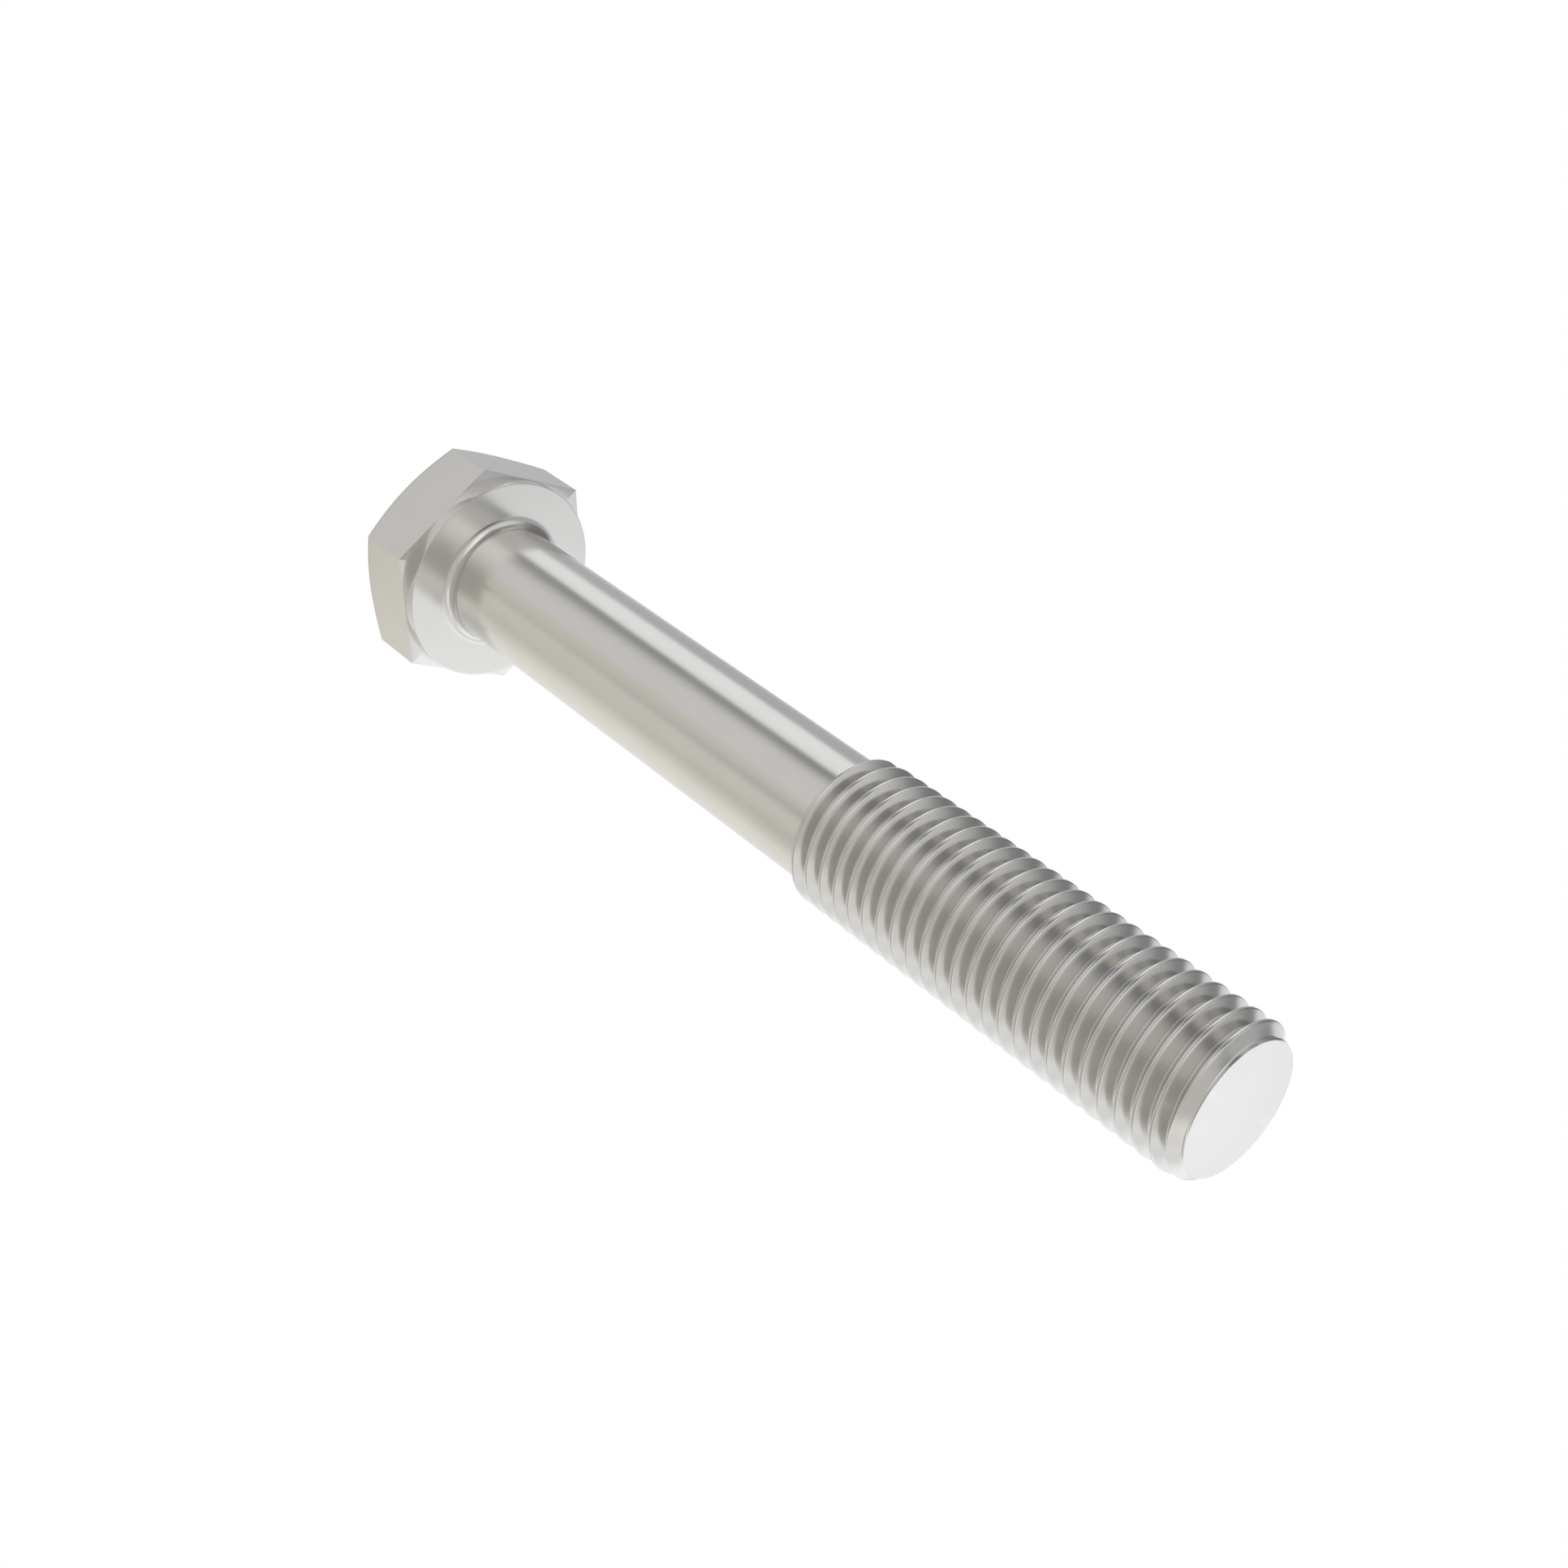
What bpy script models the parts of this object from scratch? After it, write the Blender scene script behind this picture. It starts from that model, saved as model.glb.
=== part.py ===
"""Hex bolt, M16 coarse, 110 mm under the head, forged and thread-rolled from one bar.

The bolt lies along +X. The origin is the centre of its bearing face, the head is on the -X
side and the threaded tip on the +X side. +Z points through one corner of the hexagon, so two
of the flats face +Y and -Y. Every shape is drawn upright, along its own +Z, and laid over.
"""

import math

import bmesh
import bpy
from mathutils import Matrix

MM = 0.001

# Thread, ISO metric coarse, right hand
MAJOR_RADIUS = 8.0 * MM
PITCH = 2.0 * MM
THREAD_DEPTH = 1.08 * MM
CREST_WIDTH = 0.32 * MM
FLANK_ANGLE = math.radians(30)
GROOVE_START = 58.68 * MM
GROOVE_TURNS = 26.5

# Shank and tip
LENGTH = 110.0 * MM
TIP_RADIUS = 6.88 * MM
SHANK_RADIUS = 6.87 * MM
SHANK_LENGTH = 60.15 * MM
SHOULDER_LENGTH = 0.6 * MM
FILLET_RADIUS = 1.15 * MM

# Head, with its turned washer face
ACROSS_FLATS = 24.0 * MM
HEAD_HEIGHT = 10.0 * MM
WASHER_RADIUS = 11.9 * MM
WASHER_THICKNESS = 1.35 * MM
HEAD_TOP_RADIUS = 10.08 * MM
CHAMFER_ANGLE = math.radians(30)

# How finely round surfaces are divided
TURN_STEPS = 48
HEAD_STEPS = 48
FILLET_STEPS = 5

OVERLAP = 1.0 * MM
WELD_DISTANCE = 0.005 * MM
SHARP_ANGLE = math.radians(25)


def clear_scene():
    for obj in list(bpy.data.objects):
        bpy.data.objects.remove(obj, do_unlink=True)


def new_collection(name, is_helper):
    collection = bpy.data.collections.new(name)
    bpy.context.scene.collection.children.link(collection)
    collection.hide_render = is_helper
    return collection


def steel_material():
    """Bare bright steel with a soft satin finish."""
    material = bpy.data.materials.new("satin_steel")
    material.use_nodes = True
    shader = material.node_tree.nodes["Principled BSDF"]
    shader.inputs["Base Color"].default_value = (0.62, 0.615, 0.6, 1.0)
    shader.inputs["Metallic"].default_value = 1.0
    shader.inputs["Roughness"].default_value = 0.3
    return material


def new_object(name, bm, collection):
    """An object from upright geometry, laid over so that its +Z becomes world +X."""
    mesh = bpy.data.meshes.new(name)
    bm.to_mesh(mesh)
    bm.free()
    obj = bpy.data.objects.new(name, mesh)
    obj.rotation_euler = (0.0, math.radians(90), 0.0)
    collection.objects.link(obj)
    return obj


def turned(name, profile, steps, collection):
    """A solid of revolution. The profile runs from the upper axis end to the lower one."""
    bm = bmesh.new()
    points = [bm.verts.new((radius, 0.0, height)) for radius, height in profile]
    for upper, lower in zip(points, points[1:]):
        bm.edges.new((upper, lower))
    obj = new_object(name, bm, collection)
    screw = obj.modifiers.new("turn", "SCREW")
    screw.axis = "Z"
    screw.angle = 2 * math.pi
    screw.steps = steps
    screw.render_steps = steps
    screw.use_merge_vertices = True
    screw.merge_threshold = 0.01 * MM
    return obj


def boolean(obj, operation, other):
    modifier = obj.modifiers.new(other.name, "BOOLEAN")
    modifier.operation = operation
    modifier.solver = "EXACT"
    modifier.object = other


def fix_shape(obj):
    """Turn the finished shape into a plain mesh, smooth all over but for its real edges."""
    graph = bpy.context.evaluated_depsgraph_get()
    shape = bpy.data.meshes.new_from_object(obj.evaluated_get(graph))
    obj.modifiers.clear()
    obj.data = shape
    shape.shade_smooth()
    shape.set_sharp_from_angle(angle=SHARP_ANGLE)


def hexagon_prism(name, collection):
    """The hexagon from its flat underside up past the top of the head, corners on local X."""
    bm = bmesh.new()
    depth = HEAD_HEIGHT - WASHER_THICKNESS + OVERLAP
    corner_radius = ACROSS_FLATS / 2 / math.cos(math.radians(30))
    bmesh.ops.create_cone(
        bm, cap_ends=True, segments=6, radius1=corner_radius, radius2=corner_radius, depth=depth
    )
    corners_to_x = Matrix.Rotation(math.radians(90), 3, "Z")
    bmesh.ops.rotate(bm, cent=(0, 0, 0), matrix=corners_to_x, verts=bm.verts)
    bmesh.ops.translate(bm, vec=(0, 0, -WASHER_THICKNESS - depth / 2), verts=bm.verts)
    return new_object(name, bm, collection)


def head_envelope(collection):
    """What the hexagon is turned down to: a flat top and the 30 degree chamfer round it."""
    outer = ACROSS_FLATS / 2 / math.cos(math.radians(30)) + OVERLAP
    drop = (outer - HEAD_TOP_RADIUS) * math.tan(CHAMFER_ANGLE)
    profile = [
        (0.0, OVERLAP),
        (outer, OVERLAP),
        (outer, -HEAD_HEIGHT + drop),
        (HEAD_TOP_RADIUS, -HEAD_HEIGHT),
        (0.0, -HEAD_HEIGHT),
    ]
    return turned("head_envelope", profile, HEAD_STEPS, collection)


def fillet_points():
    """Quarter circle from the shank down to the bearing face."""
    centre = SHANK_RADIUS + FILLET_RADIUS
    points = []
    for step in range(FILLET_STEPS + 1):
        turn = math.radians(90) * step / FILLET_STEPS
        radius = centre - FILLET_RADIUS * math.cos(turn)
        height = FILLET_RADIUS - FILLET_RADIUS * math.sin(turn)
        points.append((radius, height))
    return points


def washer_and_shank(collection):
    """The round part: tip chamfer, thread blank, shoulder, shank, fillet and washer face."""
    profile = [
        (0.0, LENGTH),
        (TIP_RADIUS, LENGTH),
        (MAJOR_RADIUS, LENGTH - (MAJOR_RADIUS - TIP_RADIUS)),
        (MAJOR_RADIUS, SHANK_LENGTH + SHOULDER_LENGTH),
        (SHANK_RADIUS, SHANK_LENGTH),
        *fillet_points(),
        (WASHER_RADIUS, 0.0),
        (WASHER_RADIUS, -WASHER_THICKNESS - OVERLAP),
        (0.0, -WASHER_THICKNESS - OVERLAP),
    ]
    return turned("washer_and_shank", profile, TURN_STEPS, collection)


def thread_groove(collection):
    """The helical space between the ridges, running out past both ends of the thread."""
    root_radius = MAJOR_RADIUS - THREAD_DEPTH
    outer_radius = MAJOR_RADIUS + 0.12 * MM
    half_mouth = (PITCH - CREST_WIDTH) / 2
    half_root = half_mouth - THREAD_DEPTH * math.tan(FLANK_ANGLE)
    half_outer = half_mouth + (outer_radius - MAJOR_RADIUS) * math.tan(FLANK_ANGLE)
    bm = bmesh.new()
    corners = [
        bm.verts.new((root_radius, 0.0, GROOVE_START - half_root)),
        bm.verts.new((outer_radius, 0.0, GROOVE_START - half_outer)),
        bm.verts.new((outer_radius, 0.0, GROOVE_START + half_outer)),
        bm.verts.new((root_radius, 0.0, GROOVE_START + half_root)),
    ]
    section = bm.faces.new(corners)
    steps = round(GROOVE_TURNS * TURN_STEPS)
    bmesh.ops.spin(
        bm,
        geom=[*section.verts, *section.edges, section],
        cent=(0, 0, 0),
        axis=(0, 0, 1),
        dvec=(0, 0, PITCH / TURN_STEPS),
        angle=2 * math.pi * GROOVE_TURNS,
        steps=steps,
    )
    rim = [edge for edge in bm.edges if edge.is_boundary]
    bmesh.ops.holes_fill(bm, edges=rim, sides=0)
    bmesh.ops.recalc_face_normals(bm, faces=bm.faces)
    return new_object("thread_groove", bm, collection)


def hex_bolt(parts, cutters, material):
    """The whole bolt: one solid piece of steel."""
    bolt = hexagon_prism("hex_bolt", parts)
    boolean(bolt, "INTERSECT", head_envelope(cutters))
    boolean(bolt, "UNION", washer_and_shank(cutters))
    boolean(bolt, "DIFFERENCE", thread_groove(cutters))
    weld = bolt.modifiers.new("weld", "WELD")
    weld.merge_threshold = WELD_DISTANCE
    fix_shape(bolt)
    bolt.data.materials.clear()
    bolt.data.materials.append(material)
    return bolt


def main():
    clear_scene()
    parts = new_collection("hex_bolt", False)
    cutters = new_collection("cutters", True)
    hex_bolt(parts, cutters, steel_material())
    for helper in cutters.objects:
        helper.hide_render = True
        helper.display_type = "WIRE"


main()
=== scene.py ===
"""Looks for the hex bolt: a finely modelled satin steel bolt in a plain white studio."""

import math

import bmesh
import bpy
import numpy as np
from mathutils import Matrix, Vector


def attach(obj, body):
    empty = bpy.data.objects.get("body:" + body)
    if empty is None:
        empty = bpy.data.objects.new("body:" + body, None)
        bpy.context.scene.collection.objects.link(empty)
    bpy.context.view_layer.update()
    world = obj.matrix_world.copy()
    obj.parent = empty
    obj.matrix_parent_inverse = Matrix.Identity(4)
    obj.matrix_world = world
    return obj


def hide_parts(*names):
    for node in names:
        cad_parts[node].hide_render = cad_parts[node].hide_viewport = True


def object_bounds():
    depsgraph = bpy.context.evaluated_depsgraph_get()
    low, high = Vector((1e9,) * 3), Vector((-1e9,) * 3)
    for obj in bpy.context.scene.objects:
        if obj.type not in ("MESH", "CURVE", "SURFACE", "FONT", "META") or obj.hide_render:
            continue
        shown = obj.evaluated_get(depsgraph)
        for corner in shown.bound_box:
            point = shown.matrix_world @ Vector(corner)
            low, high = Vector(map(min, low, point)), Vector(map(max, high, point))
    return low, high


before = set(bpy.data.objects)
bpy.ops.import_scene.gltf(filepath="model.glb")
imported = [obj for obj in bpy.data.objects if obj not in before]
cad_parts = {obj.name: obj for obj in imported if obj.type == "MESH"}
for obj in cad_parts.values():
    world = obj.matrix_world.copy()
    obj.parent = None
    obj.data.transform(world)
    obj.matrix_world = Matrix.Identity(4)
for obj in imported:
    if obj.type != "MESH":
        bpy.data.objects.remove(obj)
cad_low, cad_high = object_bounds()

MM = 0.001

# The head's chamfer and the thread's flanks both slope at 30 degrees
SLOPE = math.tan(math.radians(30))

# Sizes that the CAD box gives
HEAD_TOP = cad_low.x
TIP = cad_high.x
FLAT = cad_high.y

# Sizes of the bolt. The CAD's thread is a little shallower, and its washer face narrower
MAJOR = 8.0 * MM
PITCH = 2.0 * MM
THREAD_DEPTH = 1.22 * MM
CREST = 0.32 * MM
CREST_ROUND = 0.2 * MM
ROOT_ROUND = 0.23 * MM
SHANK = 6.87 * MM
SHANK_END = 60.15 * MM
SHOULDER_END = 60.75 * MM
FILLET = 1.15 * MM
WASHER = 11.94 * MM
LEDGE = -1.35 * MM
HEAD_TOP_RADIUS = 10.08 * MM
TIP_RADIUS = 6.88 * MM
CHAMFER_START = TIP - (MAJOR - TIP_RADIUS)

# A crest of the helix is at this x where it has turned this far from +Y towards +Z
CREST_X = 108.9 * MM
CREST_TURN = math.radians(130)

# Small roundings that catch the light, and how far from an edge its flat face starts
EDGE = 0.03 * MM
SUPPORT = 0.15 * MM

# The head's mesh ends at the seam, the thread's starts at its cut, and a band joins the two
COLUMNS = 120
SPARE_TURNS = 2
SEAM = 59.0 * MM
THREAD_CUT = 59.6 * MM

# How many points an arc of each kind gets, and where the flat and straight parts are divided
EDGE_STEPS = 3
THREAD_STEPS = 4
BLANK_STEPS = 5
FILLET_STEPS = 24
TOP_RINGS = (4.0 * MM, 9.0 * MM)
BEARING_RINGS = (11.0 * MM, 10.0 * MM, 9.0 * MM, 8.3 * MM)
TIP_RINGS = (5.5 * MM, 3.0 * MM)
BESIDE_CORNERS = (0.14, 0.28, 0.7, 1.5)


# ---------------------------------------------------------------- profiles


def rounded(points, radii, steps):
    """A polyline with its inner corners turned into arcs of the given radii."""
    out = [points[0]]
    for i in range(1, len(points) - 1):
        a, p, b = (Vector(points[k]) for k in (i - 1, i, i + 1))
        radius = radii[i - 1]
        back, on = (a - p).normalized(), (b - p).normalized()
        half = back.angle(on) / 2
        if radius == 0 or half > math.radians(89.5):
            out.append(tuple(p))
            continue
        reach = radius / math.tan(half)
        centre = p + (back + on).normalized() * (radius / math.sin(half))
        start, end = p + back * reach - centre, p + on * reach - centre
        for step in range(steps + 1):
            t = step / steps
            arm = start.slerp(end, t) if start.angle(end) > 1e-4 else start
            out.append(tuple(centre + arm.normalized() * radius))
    out.append(points[-1])
    return out


def bend(before, corner, after, radius, steps=EDGE_STEPS):
    """Only the arc that rounds one corner, without the points on either side of it."""
    return rounded([before, corner, after], [radius], steps)[1:-1]


def hexagon_radius(angle):
    """Distance from the axis to the side of the hexagon, with slightly rounded corners."""
    off = (angle + math.pi / 6) % (math.pi / 3) - math.pi / 6
    corner = EDGE
    centre = (FLAT - corner) / math.cos(math.pi / 6)
    touch = math.atan2(corner / 2, centre + corner * math.cos(math.pi / 6))
    if abs(off) < touch:
        return centre * math.cos(off) + math.sqrt(corner**2 - (centre * math.sin(off)) ** 2)
    return FLAT / math.cos(math.pi / 6 - abs(off))


def head_columns():
    """Angles round the head from +Z, close together at the six corners."""
    angles = [2 * math.pi * k / COLUMNS for k in range(COLUMNS)]
    for k in range(6):
        for off in BESIDE_CORNERS:
            angles += [math.radians(60 * k + off), math.radians(60 * k - off) % (2 * math.pi)]
    return sorted(set(angles))


def head_profile(side):
    """(x, radius) from the top of the head to the shank, where the hexagon is this wide."""
    edge_x = HEAD_TOP + (side - HEAD_TOP_RADIUS) * SLOPE
    cone = Vector((SLOPE, 1.0)).normalized()
    on_cone = tuple(Vector((edge_x, side)) - cone * SUPPORT)
    side_end = LEDGE - SUPPORT
    path = [(HEAD_TOP, radius) for radius in (*TOP_RINGS, HEAD_TOP_RADIUS - SUPPORT)]
    path += bend(path[-1], (HEAD_TOP, HEAD_TOP_RADIUS), on_cone, 4 * EDGE)
    path += [on_cone]
    path += bend(on_cone, (edge_x, side), (side_end, side), EDGE)
    path += [(edge_x + 0.4 * SUPPORT + (side_end - edge_x) * t, side) for t in (0.04, 0.35, 0.7)]
    path += [(side_end, side)]
    path += bend((side_end, side), (LEDGE, side), (LEDGE, side - 0.07 * MM), 0.6 * EDGE)
    path += [(LEDGE, WASHER), (-SUPPORT, WASHER)]
    path += bend((-SUPPORT, WASHER), (0.0, WASHER), (0.0, WASHER - SUPPORT), EDGE)
    path += [(0.0, WASHER - SUPPORT)]
    path += [(0.0, radius) for radius in BEARING_RINGS]
    path += bend((0.0, BEARING_RINGS[-1]), (0.0, SHANK), (2.2 * MM, SHANK), FILLET, FILLET_STEPS)
    path += [(2.2 * MM, SHANK)]
    path += [(x * MM, SHANK) for x in range(4, 58, 3)]
    path += [(SEAM, SHANK)]
    return path


def thread_profile():
    """(x, radius) over one pitch, from the middle of a crest to the middle of the next."""
    flank = THREAD_DEPTH * SLOPE
    root = MAJOR - THREAD_DEPTH
    points = [
        (0.0, MAJOR),
        (CREST / 2, MAJOR),
        (CREST / 2 + flank, root),
        (PITCH - CREST / 2 - flank, root),
        (PITCH - CREST / 2, MAJOR),
        (PITCH, MAJOR),
    ]
    radii = [CREST_ROUND, ROOT_ROUND, ROOT_ROUND, CREST_ROUND]
    return rounded(points, radii, THREAD_STEPS)[:-1]


def envelope():
    """(x, radius) of the turned blank under the thread: shoulder, thread and tip chamfer."""
    points = [
        (SEAM - PITCH, SHANK),
        (SHANK_END, SHANK),
        (SHOULDER_END, MAJOR),
        (CHAMFER_START, MAJOR),
        (TIP - 0.22 * MM, TIP_RADIUS + 0.07 * MM),
        (TIP - 0.001 * MM, TIP_RADIUS),
        (TIP, TIP_RADIUS - EDGE),
        (TIP + PITCH, TIP_RADIUS - EDGE),
    ]
    radii = [0.12 * MM, 0.1 * MM, 0.12 * MM, 0.25 * MM, 0.0, 0.0]
    return rounded(points, radii, BLANK_STEPS)


# ---------------------------------------------------------------- the bolt


def at(x, radius, angle):
    """A point at this angle from +Z, turning towards +Y."""
    return (x, radius * math.sin(angle), radius * math.cos(angle))


def head_and_shank(bm):
    """The head's grid of faces. Gives back its last ring, at the seam with the thread."""
    angles = head_columns()
    columns = []
    for angle in angles:
        path = head_profile(hexagon_radius(angle))
        columns.append([bm.verts.new(at(x, radius, angle)) for x, radius in path])
    centre = bm.verts.new((HEAD_TOP, 0.0, 0.0))
    for k, column in enumerate(columns):
        beside = columns[(k + 1) % len(columns)]
        bm.faces.new((centre, column[0], beside[0]))
        for i in range(len(column) - 1):
            bm.faces.new((column[i], column[i + 1], beside[i + 1], beside[i]))
    return [(angle, column[-1]) for angle, column in zip(angles, columns)]


def threaded_tube():
    """The helical grid, cut square at both ends, as its own open mesh."""
    pitch_rows = thread_profile()
    per_turn = len(pitch_rows)
    turns = math.ceil((TIP - SEAM) / PITCH) + 2 * SPARE_TURNS
    rows = [(x + turn * PITCH, radius) for turn in range(turns) for x, radius in pitch_rows]
    first = CREST_X - PITCH * math.ceil((CREST_X - SEAM) / PITCH + SPARE_TURNS)
    bm = bmesh.new()
    grid = []
    for k in range(COLUMNS):
        turned = 2 * math.pi * k / COLUMNS
        shift = first + PITCH * (turned - CREST_TURN) / (2 * math.pi)
        angle = math.pi / 2 - turned
        grid.append([bm.verts.new(at(x + shift, radius, angle)) for x, radius in rows])
    for k in range(COLUMNS):
        last = k == COLUMNS - 1
        beside = grid[0] if last else grid[k + 1]
        jump = per_turn if last else 0
        for i in range(len(rows) - 1 - per_turn):
            bm.faces.new((grid[k][i], beside[i + jump], beside[i + 1 + jump], grid[k][i + 1]))
    cut(bm, THREAD_CUT, clear_inner=True)
    cut(bm, TIP, clear_outer=True)
    loose = [v for v in bm.verts if not v.link_faces]
    bmesh.ops.delete(bm, geom=loose, context="VERTS")
    for x, _ in envelope():
        if THREAD_CUT < x < TIP:
            cut(bm, x)
    clip_to_envelope(bm)
    return bm


def cut(bm, x, **clear):
    """Cut the mesh along the plane at x."""
    near = [f for f in bm.faces if clear or abs(f.calc_center_median().x - x) < 0.3 * MM]
    elements = list(near)
    for face in near:
        elements += [*face.edges, *face.verts]
    geom = list(dict.fromkeys(elements))
    bmesh.ops.bisect_plane(
        bm, geom=geom, dist=1e-8, plane_co=(x, 0, 0), plane_no=(1, 0, 0), **clear
    )


def clip_to_envelope(bm):
    """Pull every point in to the turned blank, where the thread stands proud of it."""
    xs, limits = (np.array(values) for values in zip(*envelope()))
    blend = 0.02 * MM
    for v in bm.verts:
        radius = math.hypot(v.co.y, v.co.z)
        limit = float(np.interp(v.co.x, xs, limits))
        gap = max(0.0, 1 - abs(radius - limit) / blend)
        small = min(radius, limit) - gap * gap * blend / 4
        if v.co.x < SHANK_END:
            small = SHANK
        v.co.y *= small / radius
        v.co.z *= small / radius


def end_ring(bm, x):
    """The open edge's points at x, as (angle from +Z towards +Y, point), in order."""
    rim = [v for v in bm.verts if v.is_boundary and abs(v.co.x - x) < 0.01 * MM]
    found = [(math.atan2(v.co.y, v.co.z) % (2 * math.pi), v) for v in rim]
    return sorted(found, key=lambda item: item[0])


def stitch(bm, lower, upper, steps):
    """Close the gap between two rings of points with one face per step round the axis."""
    width = 2 * math.pi / steps
    for k in range(steps):
        low = between(lower, k * width, (k + 1) * width)
        high = between(upper, k * width, (k + 1) * width)
        bm.faces.new((*low, *reversed(high)))


def between(ring, start, end):
    """The ring's points from one angle to another, both ends included."""
    slack = 1e-5
    inside = [v for angle, v in ring if start - slack <= angle <= end + slack]
    if end > 2 * math.pi - slack:
        inside += [v for angle, v in ring if angle < slack]
    return inside


def tip_face(bm, rim):
    """Close the tip with rings that shrink to the centre, all inside the groove's foot."""
    foot = MAJOR - THREAD_DEPTH
    for radius in (foot - EDGE, foot - SUPPORT, *TIP_RINGS):
        inner = [(angle, bm.verts.new(at(TIP, radius, angle))) for angle, _ in rim]
        for k, (_, outer) in enumerate(rim):
            after = (k + 1) % len(rim)
            bm.faces.new((outer, rim[after][1], inner[after][1], inner[k][1]))
        rim = inner
    centre = bm.verts.new((TIP, 0.0, 0.0))
    for k, (_, outer) in enumerate(rim):
        bm.faces.new((outer, rim[(k + 1) % len(rim)][1], centre))


def bolt_mesh():
    """Head, shank and thread as one closed mesh, smooth all over but for its real edges."""
    tube = threaded_tube()
    mesh = bpy.data.meshes.new("bolt")
    tube.to_mesh(mesh)
    tube.free()
    bm = bmesh.new()
    bm.from_mesh(mesh)
    lower = end_ring(bm, THREAD_CUT)
    tip_rim = end_ring(bm, TIP)
    ring = head_and_shank(bm)
    stitch(bm, ring, lower, COLUMNS)
    tip_face(bm, tip_rim)
    bmesh.ops.recalc_face_normals(bm, faces=bm.faces)
    bm.to_mesh(mesh)
    bm.free()
    mesh.shade_smooth()
    mesh.set_sharp_from_angle(angle=math.radians(35))
    return mesh


def make_bolt():
    bolt = bpy.data.objects.new("bolt", bolt_mesh())
    bpy.context.scene.collection.objects.link(bolt)
    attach(bolt, "root")
    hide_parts("hex_bolt")
    return bolt


# ---------------------------------------------------------------- material

DARKER_STEEL = (0.705, 0.692, 0.665, 1.0)
BRIGHTER_STEEL = (0.76, 0.748, 0.722, 1.0)
CLOUD_SIZE = 6 * MM

# Marks of turning and rolling, and how much slower they change round the axis than along it
TURNED_MARK_SIZE = 0.22 * MM
TURNED_MARK_HEIGHT = 0.0005 * MM
CHANGE_ROUND_AXIS = 0.05

# Even grain of the forged hexagon
FORGED_GRAIN_SIZE = 0.35 * MM
FORGED_GRAIN_HEIGHT = 0.0012 * MM

# Roughness as the clouding changes it, and how much the grain and the rubbed edges change it
ROUGHNESS = (0.18, 0.22)
GRAIN_ROUGHNESS = 0.02
EDGE_POLISH = 0.03

# Pointiness is 0.5 on a flat face, more at an edge and less in a hollow
EDGE_POINTINESS = (0.52, 0.60)
# Pointiness range of the hollows where shade is painted into the steel's colour
HOLLOW_SHADE_POINTINESS = (0.48, 0.40)


def link(tree, source, target):
    tree.links.new(source, target)


def calculate(tree, operation, *values):
    """A Math node; each value is a number or another node's output."""
    node = tree.nodes.new("ShaderNodeMath")
    node.operation = operation
    for i, value in enumerate(values):
        if isinstance(value, (int, float)):
            node.inputs[i].default_value = value
        else:
            link(tree, value, node.inputs[i])
    return node.outputs[0]


def spread(tree, value, low, high, from_low=0.0, from_high=1.0):
    """A value's range from from_low to from_high, spread over low to high and kept inside."""
    node = tree.nodes.new("ShaderNodeMapRange")
    node.inputs["From Min"].default_value = from_low
    node.inputs["From Max"].default_value = from_high
    node.inputs["To Min"].default_value = low
    node.inputs["To Max"].default_value = high
    link(tree, value, node.inputs["Value"])
    return node.outputs[0]


def noise(tree, vector, size, detail=2.0, along=None):
    """Cloudy noise whose lumps are this many metres across."""
    node = tree.nodes.new("ShaderNodeTexNoise")
    node.inputs["Scale"].default_value = 1 / size
    node.inputs["Detail"].default_value = detail
    link(tree, vector, node.inputs["Vector"])
    if along is not None:
        node.noise_dimensions = "4D"
        link(tree, along, node.inputs["W"])
    return node.outputs["Fac"]


def turned_marks(tree, place, size):
    """Fine marks that run round the axis, as rolling and turning leave them."""
    split = tree.nodes.new("ShaderNodeSeparateXYZ")
    link(tree, place, split.inputs[0])
    x, y, z = split.outputs
    y_squared = calculate(tree, "MULTIPLY", y, y)
    z_squared = calculate(tree, "MULTIPLY", z, z)
    radius = calculate(tree, "SQRT", calculate(tree, "ADD", y_squared, z_squared))
    join = tree.nodes.new("ShaderNodeCombineXYZ")
    link(tree, x, join.inputs[0])
    link(tree, radius, join.inputs[1])
    link(tree, calculate(tree, "MULTIPLY", y, CHANGE_ROUND_AXIS), join.inputs[2])
    fourth = calculate(tree, "MULTIPLY", z, CHANGE_ROUND_AXIS)
    return noise(tree, join.outputs[0], size, 3.0, fourth)


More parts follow.
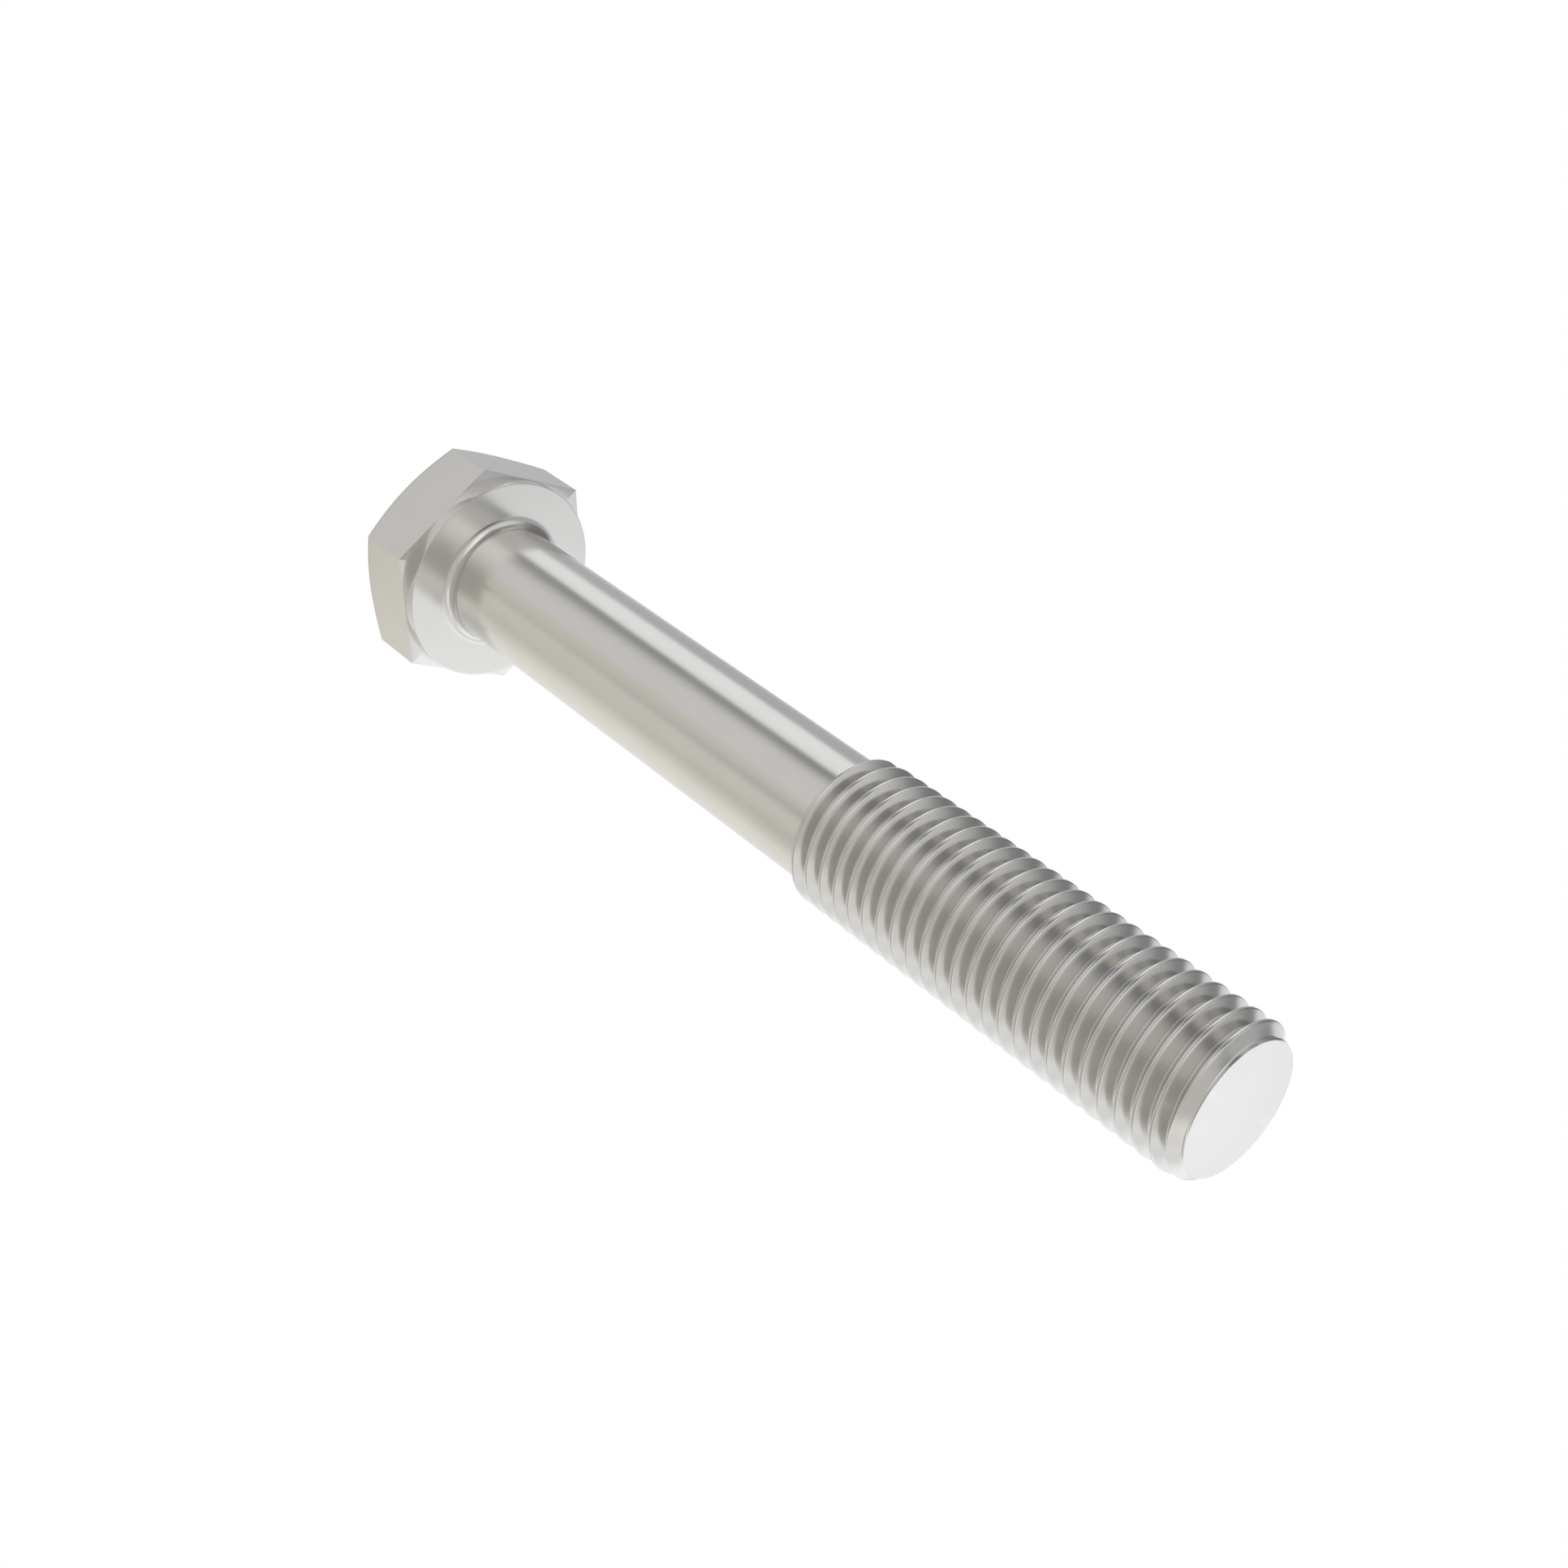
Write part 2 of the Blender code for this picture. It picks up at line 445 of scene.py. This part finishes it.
def steel(name, is_turned):
    """Bright satin steel: fine marks, faint clouding, rubbed corners, and painted shade that
    darkens the hollows.
    """
    material = bpy.data.materials.new(name)
    material.use_nodes = True
    tree = material.node_tree
    shader = tree.nodes["Principled BSDF"]
    shader.inputs["Metallic"].default_value = 1.0
    place = tree.nodes.new("ShaderNodeTexCoord").outputs["Object"]
    clouds = noise(tree, place, CLOUD_SIZE, 3.0)
    if is_turned:
        grain = turned_marks(tree, place, TURNED_MARK_SIZE)
        height = TURNED_MARK_HEIGHT
    else:
        grain = noise(tree, place, FORGED_GRAIN_SIZE, 4.0)
        height = FORGED_GRAIN_HEIGHT
    pointed = tree.nodes.new("ShaderNodeNewGeometry").outputs["Pointiness"]
    rubbed = spread(tree, pointed, 0.0, 1.0, *EDGE_POINTINESS)
    # Mask of the hollows, where painted shade darkens the colour
    hollow_shade_mask = spread(tree, pointed, 0.0, 1.0, *HOLLOW_SHADE_POINTINESS)

    tone = tree.nodes.new("ShaderNodeMix")
    tone.data_type = "RGBA"
    tone.inputs["A"].default_value = DARKER_STEEL
    tone.inputs["B"].default_value = BRIGHTER_STEEL
    worn = calculate(tree, "MULTIPLY", rubbed, 0.5)
    # Painted shade: the steel's tone is darker in the hollows, in place of the shade that falls
    # there
    painted_hollow_shade = calculate(tree, "MULTIPLY", hollow_shade_mask, 0.4)
    level = calculate(tree, "SUBTRACT", calculate(tree, "ADD", clouds, worn), painted_hollow_shade)
    link(tree, level, tone.inputs["Factor"])
    link(tree, tone.outputs["Result"], shader.inputs["Base Color"])

    cloudy = spread(tree, clouds, *ROUGHNESS)
    grainy = spread(tree, grain, -GRAIN_ROUGHNESS, GRAIN_ROUGHNESS)
    polished = calculate(tree, "MULTIPLY", rubbed, EDGE_POLISH)
    roughness = calculate(tree, "SUBTRACT", calculate(tree, "ADD", cloudy, grainy), polished)
    link(tree, roughness, shader.inputs["Roughness"])

    bump = tree.nodes.new("ShaderNodeBump")
    bump.inputs["Distance"].default_value = height
    link(tree, grain, bump.inputs["Height"])
    link(tree, bump.outputs[0], shader.inputs["Normal"])
    return material


def paint(bolt):
    """Forged steel on the hexagon, turned and rolled steel on everything round."""
    bolt.data.materials.append(steel("turned_steel", True))
    bolt.data.materials.append(steel("forged_steel", False))
    for face in bolt.data.polygons:
        if face.center.x < 0.98 * LEDGE:
            face.material_index = 1


# ---------------------------------------------------------------- studio

# Brightness of the room by elevation: a white floor, grey walls, a dim ceiling
BACKDROP = [(-90, 1.2), (-60, 0.85), (-40, 1.25), (-20, 0.5), (20, 0.5), (60, 0.25), (90, 0.3)]

# Panels in front of it, each over the ones before: azimuth from +X towards +Y, elevation,
# inner and outer half widths in degrees, brightness, and warmth from -1, bluish, to 1
PANELS = {
    "flag_on_the_right": (85, -5, 0, 35, 0.2, 0),
    "dim_wall_in_front": (-65, 15, 0, 75, 0.45, 0.7),
    "ceiling_behind_the_head": (-145, 50, 15, 35, 0.72, 0),
    "wall_behind_the_head": (-135, -20, 30, 40, 0.7, 0.7),
    "warm_edge_of_the_ceiling": (-140, 25, 5, 10, 0.65, 1),
    "high_soft_box": (110, 55, 0, 15, 0.65, 0.6),
    "soft_box_before_the_tip": (-10, 40, 0, 35, 1.2, 0.1),
    "main_soft_box": (135, 35, 15, 20, 1.0, -0.2),
    "wall_before_the_tip": (-20, -5, 0, 55, 0.6, 0.3),
    "floor_behind_the_head": (175, -40, 25, 50, 0.9, 0),
    "warm_part_of_that_floor": (-150, -40, 5, 30, 0.9, 0.6),
    "side_soft_box": (45, 35, 0, 30, 0.8, 0),
    "low_lamp": (-40, -25, 0, 20, 1.0, 0.4),
    "flag_behind_the_head": (-165, -10, 10, 30, 0.35, 1),
    "floor_on_the_right": (75, -35, 12, 18, 0.9, -0.7),
    "flag_beyond_the_tip": (20, 0, 10, 12, 0.15, 0),
    "low_wall_in_front": (-100, -30, 5, 40, 0.5, 0.5),
}

FLOOR_RADIUS = 3.0
ROOM_WARMTH = -0.3


def floor():
    """A plain white floor that only the camera sees, so that the bolt gets an even light."""
    bm = bmesh.new()
    bmesh.ops.create_circle(bm, cap_ends=True, radius=FLOOR_RADIUS, segments=64)
    mesh = bpy.data.meshes.new("floor")
    bm.to_mesh(mesh)
    bm.free()
    obj = bpy.data.objects.new("floor", mesh)
    obj.location = (cad_low.x, 0.0, cad_low.z)
    bpy.context.scene.collection.objects.link(obj)
    material = bpy.data.materials.new("floor_white")
    material.use_nodes = True
    tree = material.node_tree
    tree.nodes.clear()
    glow = tree.nodes.new("ShaderNodeEmission")
    out = tree.nodes.new("ShaderNodeOutputMaterial")
    link(tree, glow.outputs[0], out.inputs["Surface"])
    mesh.materials.append(material)
    obj.visible_diffuse = False
    obj.visible_glossy = False
    obj.visible_shadow = False
    obj.visible_transmission = False


def backdrop(tree, where):
    """The room's light by elevation alone."""
    split = tree.nodes.new("ShaderNodeSeparateXYZ")
    link(tree, where, split.inputs[0])
    height = spread(tree, split.outputs["Z"], 0.0, 1.0, -1.0, 1.0)
    ramp = tree.nodes.new("ShaderNodeValToRGB")
    ramp.color_ramp.interpolation = "EASE"
    link(tree, height, ramp.inputs[0])
    elements = ramp.color_ramp.elements
    while len(elements) > 1:
        elements.remove(elements[-1])
    for i, (elevation, level) in enumerate(BACKDROP):
        place = (math.sin(math.radians(elevation)) + 1) / 2
        element = elements[0] if i == 0 else elements.new(place)
        element.position = place
        element.color = tinted(level, ROOM_WARMTH)
    return ramp.outputs[0]


def studio_world():
    """Soft light that depends only on its direction. The camera itself sees plain white."""
    world = bpy.data.worlds.new("studio")
    bpy.context.scene.world = world
    world.use_nodes = True
    tree = world.node_tree
    tree.nodes.clear()
    where = tree.nodes.new("ShaderNodeTexCoord").outputs["Generated"]
    light = backdrop(tree, where)
    for panel in PANELS.values():
        light = soft_panel(tree, where, light, *panel)
    background = tree.nodes.new("ShaderNodeBackground")
    link(tree, light, background.inputs["Color"])
    white = tree.nodes.new("ShaderNodeBackground")
    white.inputs["Color"].default_value = (1, 1, 1, 1)
    path = tree.nodes.new("ShaderNodeLightPath")
    mix = tree.nodes.new("ShaderNodeMixShader")
    link(tree, path.outputs["Is Camera Ray"], mix.inputs[0])
    link(tree, background.outputs[0], mix.inputs[1])
    link(tree, white.outputs[0], mix.inputs[2])
    out = tree.nodes.new("ShaderNodeOutputWorld")
    link(tree, mix.outputs[0], out.inputs["Surface"])


def tinted(level, warmth):
    """A grey of this brightness, a little towards orange, or towards blue if negative."""
    return (level * (1 + 0.04 * warmth), level, level * (1 - 0.1 * warmth), 1.0)


def soft_panel(tree, where, behind, azimuth, elevation, inner, outer, level, warmth):
    """A round patch with a soft edge, laid over the light behind it."""
    a, e = math.radians(azimuth), math.radians(elevation)
    toward = (math.cos(a) * math.cos(e), math.sin(a) * math.cos(e), math.sin(e))
    dot = tree.nodes.new("ShaderNodeVectorMath")
    dot.operation = "DOT_PRODUCT"
    link(tree, where, dot.inputs[0])
    dot.inputs[1].default_value = toward
    reach = tree.nodes.new("ShaderNodeMapRange")
    reach.interpolation_type = "SMOOTHSTEP"
    reach.inputs["From Min"].default_value = math.cos(math.radians(outer))
    reach.inputs["From Max"].default_value = math.cos(math.radians(inner))
    link(tree, dot.outputs["Value"], reach.inputs["Value"])
    mix = tree.nodes.new("ShaderNodeMix")
    mix.data_type = "RGBA"
    link(tree, reach.outputs[0], mix.inputs["Factor"])
    link(tree, behind, mix.inputs["A"])
    mix.inputs["B"].default_value = tinted(level, warmth)
    return mix.outputs["Result"]


def camera():
    """A 50 mm lens on a full frame, from the right, in front and above."""
    azimuth, elevation = math.radians(49.97), math.radians(37.07)
    distance = 219.4 * MM
    aim = (cad_low + cad_high) / 2 + Vector((0.55, -0.02, -0.02)) * MM
    data = bpy.data.cameras.new("camera")
    data.lens = 50
    data.sensor_width = 36
    data.clip_start = 0.01
    data.clip_end = 20
    obj = bpy.data.objects.new("camera", data)
    bpy.context.scene.collection.objects.link(obj)
    back = Vector(
        (
            math.sin(azimuth) * math.cos(elevation),
            -math.cos(azimuth) * math.cos(elevation),
            math.sin(elevation),
        )
    )
    obj.location = aim + back * distance
    obj.rotation_mode = "QUATERNION"
    obj.rotation_quaternion = (-back).to_track_quat("-Z", "Y")
    bpy.context.scene.camera = obj


paint(make_bolt())
floor()
studio_world()
camera()
bpy.context.scene.view_settings.view_transform = "Standard"
